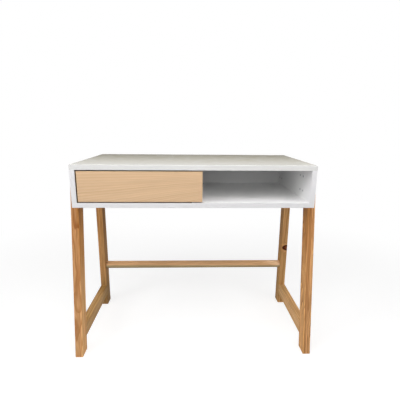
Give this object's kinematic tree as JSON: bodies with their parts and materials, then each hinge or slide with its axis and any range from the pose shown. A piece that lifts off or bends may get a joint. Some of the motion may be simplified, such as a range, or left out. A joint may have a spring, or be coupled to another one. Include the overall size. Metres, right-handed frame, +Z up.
{
  "type": "kneehole desk",
  "caption": "Writing desk with a white box case hung between pine leg frames, a pale wood drawer beside an open cubby, raked front legs, side rails and a round rear stretcher.",
  "frame": {"origin": "on the floor, under the middle of the desk's overall box", "axes": "+X to the right as the sitter faces the desk, +Y from the sitter towards the wall, +Z up"},
  "size_m": [0.923, 0.426, 0.75],
  "materials": {
    "white_lacquer": "satin white lacquer on board",
    "pine": "clear varnished pine",
    "maple_front": "matt varnished pale wood veneer",
    "birch_box": "sealed birch plywood",
    "beech_dowel": "raw beech",
    "zinc_screw": "zinc plated",
    "zinc_rail": "zinc plated sheet",
    "cage_steel": "plain pressed steel",
    "ball_steel": "polished",
    "bumper_rubber": "matt black"
  },
  "bodies": {
    "case": {"case_top": "white_lacquer", "case_bottom": "white_lacquer", "case_left_side": "white_lacquer", "case_right_side": "white_lacquer", "case_back": "white_lacquer", "divider": "white_lacquer", "case_dowels": "beech_dowel", "back_screws": "zinc_screw", "front_left_leg": "pine", "front_right_leg": "pine", "rear_left_leg": "pine", "rear_right_leg": "pine", "left_side_rail": "pine", "right_side_rail": "pine", "rail_dowels": "beech_dowel", "stretcher_bar": "pine", "leg_screws": "zinc_screw", "left_case_rail": "zinc_rail", "right_case_rail": "zinc_rail", "case_rail_screws": "zinc_screw", "slide_bumpers": "bumper_rubber"},
    "drawer": {"drawer_front": "maple_front", "drawer_inner_front": "birch_box", "drawer_back": "birch_box", "drawer_left_side": "birch_box", "drawer_right_side": "birch_box", "drawer_bottom": "birch_box", "drawer_box_screws": "zinc_screw", "front_screws": "zinc_screw", "left_drawer_rail": "zinc_rail", "right_drawer_rail": "zinc_rail", "drawer_rail_screws": "zinc_screw"},
    "left_cage": {"left_ball_cage": "cage_steel", "left_slide_balls": "ball_steel"},
    "right_cage": {"right_ball_cage": "cage_steel", "right_slide_balls": "ball_steel"}
  },
  "joints": [
    {"name": "drawer_slide", "type": "slide", "parent": "case", "child": "drawer", "axis": [0, -1, 0], "range_m": [0, 0.25]},
    {"name": "left_cage_roll", "type": "slide", "parent": "case", "child": "left_cage", "axis": [0, -1, 0], "range_m": [0, 0.125]},
    {"name": "right_cage_roll", "type": "slide", "parent": "case", "child": "right_cage", "axis": [0, -1, 0], "range_m": [0, 0.125]}
  ],
  "couplings": [
    {"joint": "left_cage_roll", "follows": "drawer_slide", "ratio": 0.5},
    {"joint": "right_cage_roll", "follows": "drawer_slide", "ratio": 0.5}
  ]
}
